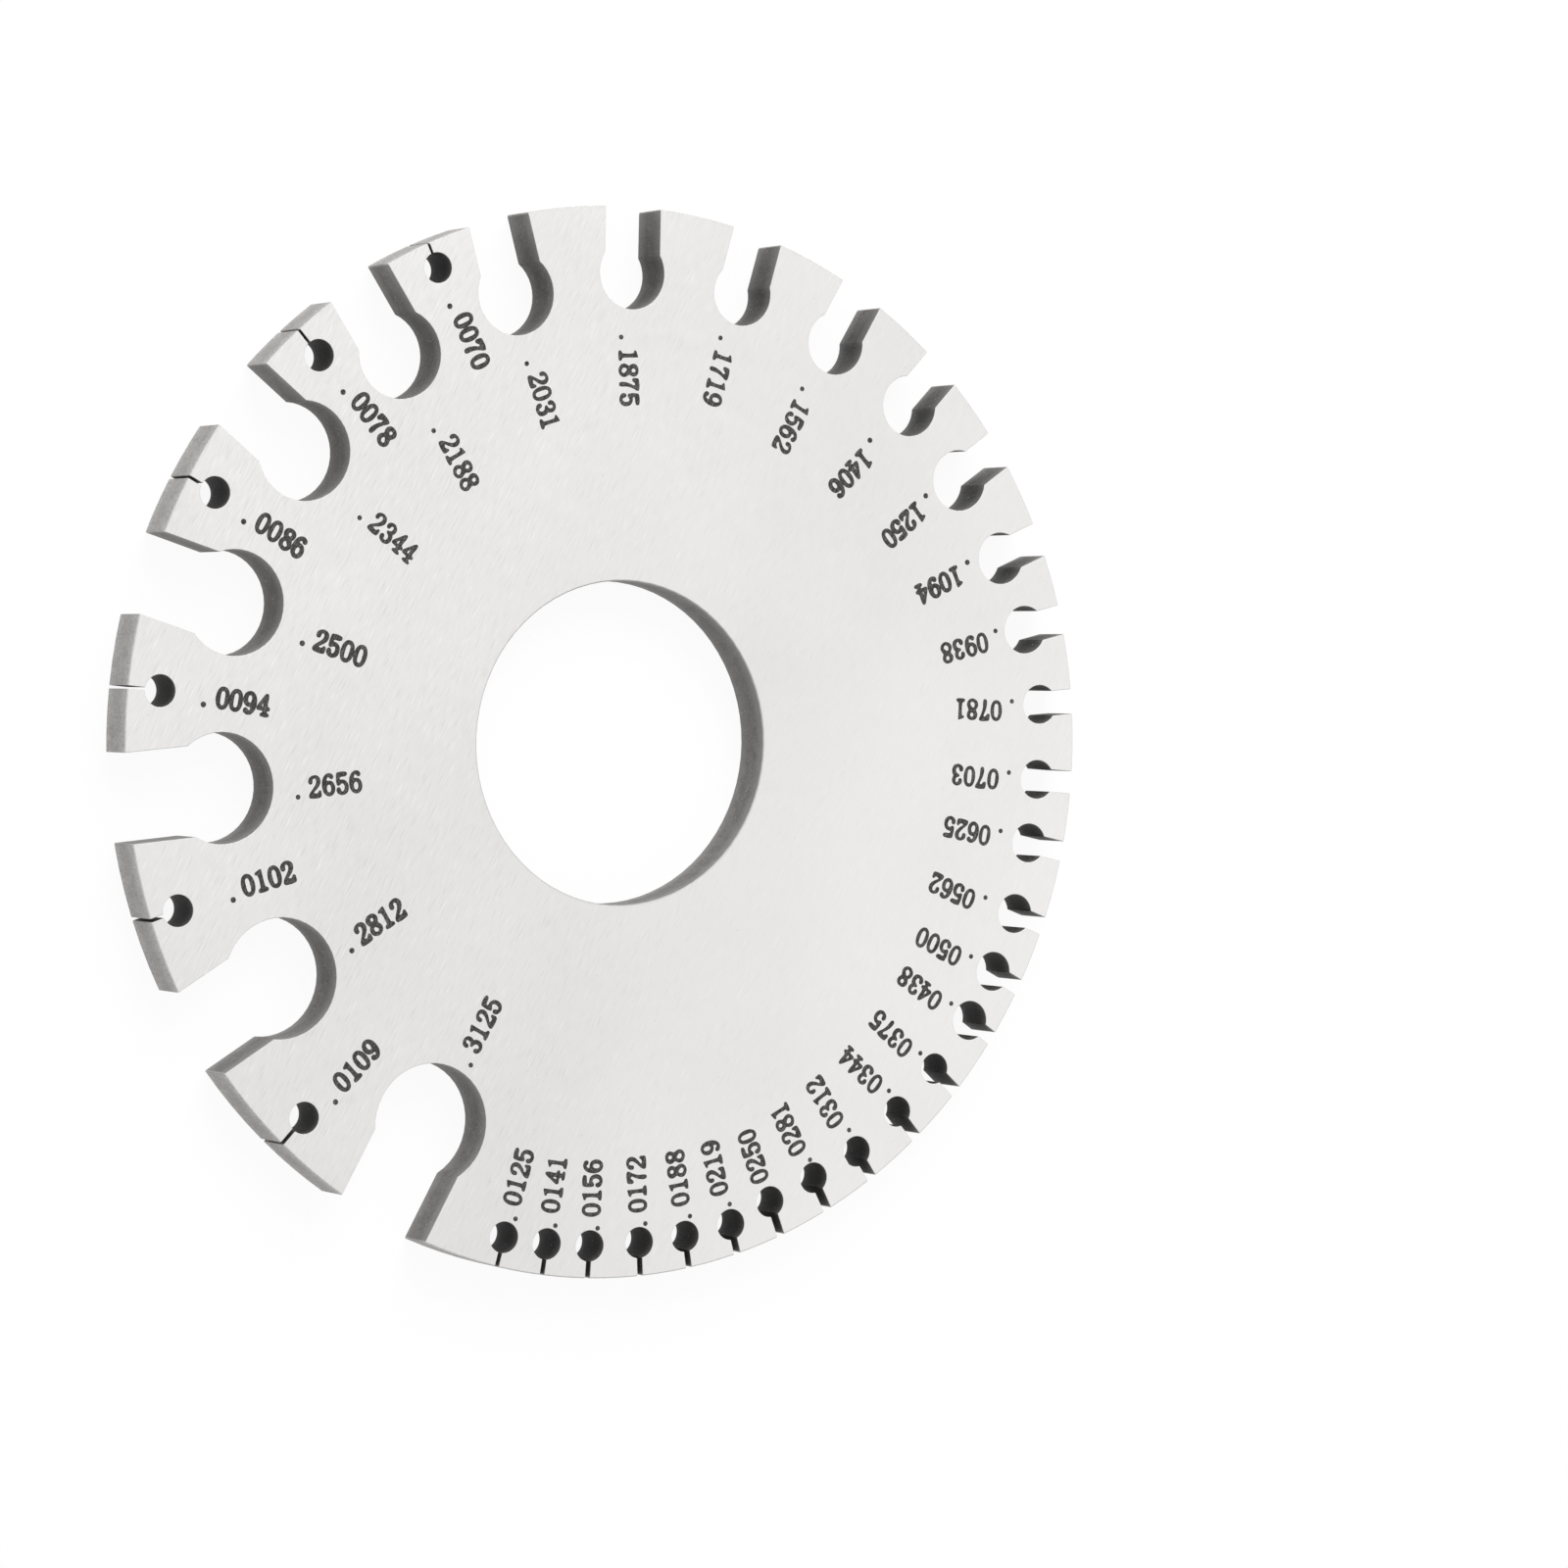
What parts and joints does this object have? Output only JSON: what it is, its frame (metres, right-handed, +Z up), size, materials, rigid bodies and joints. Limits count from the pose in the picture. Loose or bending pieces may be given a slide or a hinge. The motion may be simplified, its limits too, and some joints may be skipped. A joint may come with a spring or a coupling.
{
  "type": "wire gauge plate",
  "caption": "Round flat steel gauge plate with keyhole slots of stepped widths cut in round its rim, a decimal size etched beside each slot, and a plain round hole in the middle.",
  "frame": {"origin": "centre of the middle hole, on the plain back face that the plate rests on", "axes": "+Z up out of the marked face; +X points between the slots marked .0781 and .0703, and +Y through the slot marked .1875"},
  "size_m": [0.0826, 0.0825, 0.0036],
  "materials": {
    "ground_steel": "satin ground faces, duller milled rim and slot walls",
    "etched_numbers": "matt black etch in the face"
  },
  "bodies": {
    "root": {"gauge_plate": "ground_steel"}
  },
  "joints": []
}
